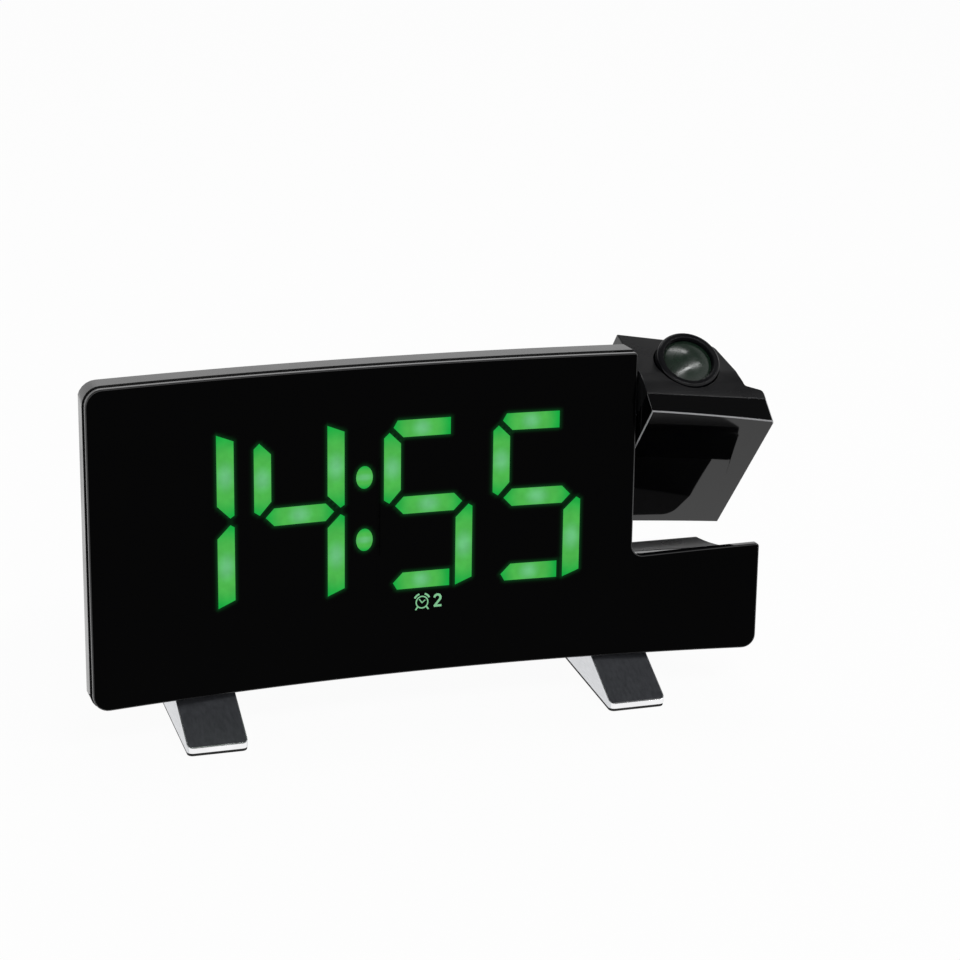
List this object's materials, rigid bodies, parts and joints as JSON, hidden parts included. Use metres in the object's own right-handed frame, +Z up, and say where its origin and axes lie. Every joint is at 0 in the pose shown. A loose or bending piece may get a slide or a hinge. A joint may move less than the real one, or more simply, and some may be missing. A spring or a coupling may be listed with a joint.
{
  "type": "projection alarm clock",
  "caption": "Digital alarm clock with a curved black panel on two wedge feet and a projector head that swivels in a notch at its upper corner.",
  "frame": {"origin": "centre of the footprint on the surface it stands on", "axes": "+X along the panel towards the projector head, +Y to the back, +Z up; the display faces -Y"},
  "size_m": [0.1868, 0.067, 0.0975],
  "materials": {
    "panel_gloss": "polished black acrylic",
    "bezel_satin": "satin",
    "cover_satin": "fine matt texture",
    "housing_dark": "satin dark grey",
    "guide_white": "matt white",
    "lit_green": "lit, tinted green",
    "board_green": "circuit board",
    "lamp_yellow": "clear resin over the lamp",
    "parts_black": "matt",
    "port_metal": "plated",
    "speaker_grey": "coated paper cone and frame",
    "cell_metal": "satin metal can",
    "bush_nylon": "natural nylon",
    "screw_steel": "zinc plated",
    "foot_metal": "satin sides, polished lip",
    "foot_dark": "dark brushed",
    "sole_rubber": "matt",
    "button_dark": "soft matt",
    "button_grey": "soft matt",
    "shell_satin": "satin",
    "ring_satin": "satin",
    "lens_glass": "polished",
    "slide_glass": "polished",
    "lead_black": "matt sheath"
  },
  "bodies": {
    "clock": {"front_panel": "panel_gloss", "front_bezel": "bezel_satin", "rear_cover": "cover_satin", "light_guide": "guide_white", "digit_windows": "lit_green", "symbol_window": "lit_green", "display_board": "board_green", "segment_lamps": "lamp_yellow", "main_board": "board_green", "board_parts": "parts_black", "power_socket": "parts_black", "usb_port": "port_metal", "speaker": "speaker_grey", "speaker_ring": "parts_black", "cell_holder": "parts_black", "backup_cell": "cell_metal", "button_board": "board_green", "button_switches": "port_metal", "snooze_board": "board_green", "side_housing": "housing_dark", "pivot_bush": "bush_nylon", "wave_washer": "port_metal", "cover_screws": "screw_steel", "foot_screws": "screw_steel", "left_foot": "foot_metal", "left_foot_plate": "foot_dark", "left_foot_sole": "sole_rubber", "right_foot": "foot_metal", "right_foot_plate": "foot_dark", "right_foot_sole": "sole_rubber"},
    "head": {"head_cover": "panel_gloss", "head_shell": "shell_satin", "optics_tube": "parts_black", "condenser_lens": "lens_glass", "image_slide": "slide_glass", "projector_lamp": "lamp_yellow", "lamp_board": "board_green", "head_screws": "screw_steel", "pivot_shaft": "port_metal", "shaft_clip": "screw_steel", "projector_lead": "lead_black"},
    "focus": {"focus_ring": "ring_satin", "projection_lens": "lens_glass"},
    "battery_door": {"battery_door": "cover_satin"},
    "snooze_bar": {"snooze_bar": "button_dark"},
    "time_button": {"time_button": "button_grey"},
    "alarm_button": {"alarm_button": "button_grey"},
    "down_button": {"down_button": "button_grey"},
    "up_button": {"up_button": "button_grey"},
    "projector_button": {"projector_button": "button_grey"},
    "dimmer_button": {"dimmer_button": "button_grey"}
  },
  "joints": [
    {"name": "head_swivel", "type": "hinge", "parent": "clock", "child": "head", "pos_m": [0.0576, -0.00097, 0.0753], "axis": [1, 0, 0], "range_deg": [-132.5, 47.5]},
    {"name": "focus_turn", "type": "hinge", "parent": "head", "child": "focus", "pos_m": [0.07285, -0.00738, 0.08866], "axis": [0, -0.6088, 0.7934], "range_deg": [-60, 60]},
    {"name": "snooze_press", "type": "slide", "parent": "clock", "child": "snooze_bar", "axis": [0, -0.0872, -0.9962], "range_m": [0, 0.001], "stiffness_N_per_m": 600, "springref_m": -0.0005},
    {"name": "time_press", "type": "slide", "parent": "clock", "child": "time_button", "axis": [0, -0.9962, 0.0872], "range_m": [0, 0.0008], "stiffness_N_per_m": 400, "springref_m": -0.0004},
    {"name": "alarm_press", "type": "slide", "parent": "clock", "child": "alarm_button", "axis": [0, -0.9962, 0.0872], "range_m": [0, 0.0008], "stiffness_N_per_m": 400, "springref_m": -0.0004},
    {"name": "down_press", "type": "slide", "parent": "clock", "child": "down_button", "axis": [0, -0.9962, 0.0872], "range_m": [0, 0.0008], "stiffness_N_per_m": 400, "springref_m": -0.0004},
    {"name": "up_press", "type": "slide", "parent": "clock", "child": "up_button", "axis": [0, -0.9962, 0.0872], "range_m": [0, 0.0008], "stiffness_N_per_m": 400, "springref_m": -0.0004},
    {"name": "projector_press", "type": "slide", "parent": "clock", "child": "projector_button", "axis": [0, -0.9962, 0.0872], "range_m": [0, 0.0008], "stiffness_N_per_m": 400, "springref_m": -0.0004},
    {"name": "dimmer_press", "type": "slide", "parent": "clock", "child": "dimmer_button", "axis": [0, -0.9962, 0.0872], "range_m": [0, 0.0008], "stiffness_N_per_m": 400, "springref_m": -0.0004},
    {"name": "battery_slide", "type": "slide", "parent": "clock", "child": "battery_door", "axis": [1, 0, 0], "range_m": [0, 0.036]}
  ]
}
